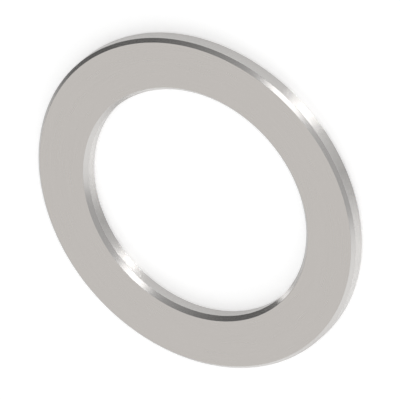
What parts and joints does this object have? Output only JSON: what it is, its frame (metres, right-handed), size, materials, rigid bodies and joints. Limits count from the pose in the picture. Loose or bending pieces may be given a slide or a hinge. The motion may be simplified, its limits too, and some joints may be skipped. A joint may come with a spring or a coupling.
{
  "type": "bearing race",
  "caption": "Flat hardened-steel thrust bearing race: a plain ring with a round bore, ground faces and chamfered edges, giving rolling elements a hard track to run on.",
  "frame": {"origin": "centre of the bore in the plane of the lower, seat face, on which the ring lies", "axes": "+Z along the bore axis, from the seat face to the raceway face; X and Y are free, because the ring is round"},
  "size_m": [0.0556, 0.0556, 0.003],
  "materials": {
    "bearing_steel": "hardened bearing steel, flat faces ground to a fine satin, rim, bore and chamfers turned and ground"
  },
  "bodies": {
    "root": {"bearing_race": "bearing_steel"}
  },
  "joints": []
}
